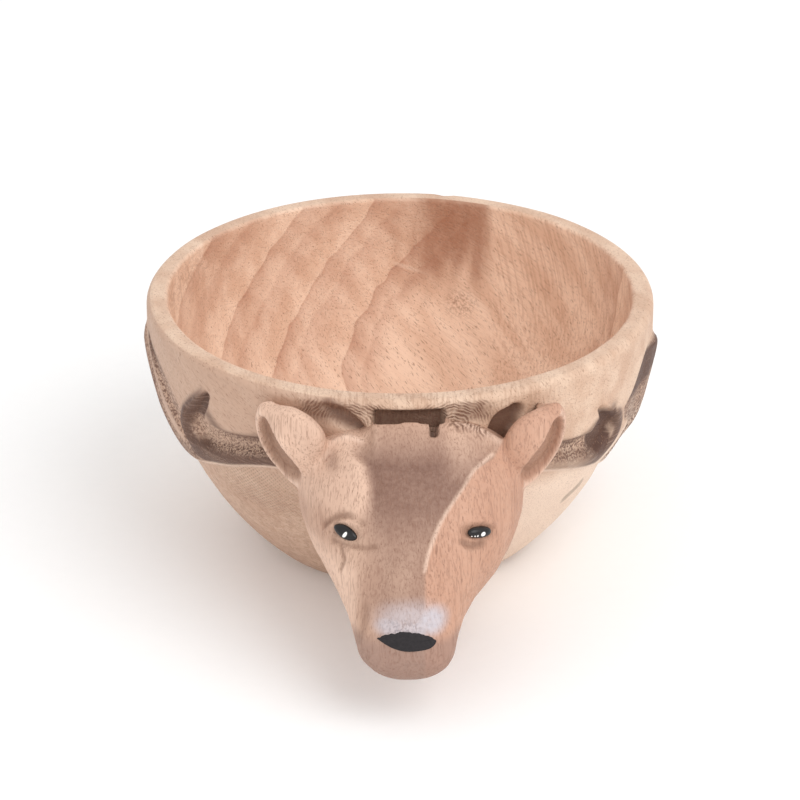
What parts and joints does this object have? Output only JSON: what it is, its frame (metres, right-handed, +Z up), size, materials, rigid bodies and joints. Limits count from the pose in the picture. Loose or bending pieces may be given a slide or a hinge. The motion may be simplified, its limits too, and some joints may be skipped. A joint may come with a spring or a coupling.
{
  "type": "carved wooden bowl",
  "caption": "Small round carved hardwood bowl with a deer's head on its front wall, antlers in relief round the sides and a flat foot.",
  "frame": {"origin": "centre of the flat foot, on the bowl's own axis, at the surface it stands on", "axes": "+Z up out of the bowl's mouth, -Y towards the deer's nose, +X to the right as seen facing the deer"},
  "size_m": [0.1, 0.1311, 0.052],
  "materials": {
    "bowl_wood": "turned and carved rubberwood, sanded, dry matt",
    "head_wood": "knife-carved rubberwood, dry matt, muzzle dusted white",
    "peg_wood": "turned beech, hidden",
    "eye_black": "gloss black with a white glint",
    "nose_black": "matt black"
  },
  "bodies": {
    "root": {"bowl": "bowl_wood", "deer_head": "head_wood", "peg_left": "peg_wood", "peg_right": "peg_wood", "eye_left": "eye_black", "eye_right": "eye_black", "nose_pad": "nose_black"}
  },
  "joints": []
}
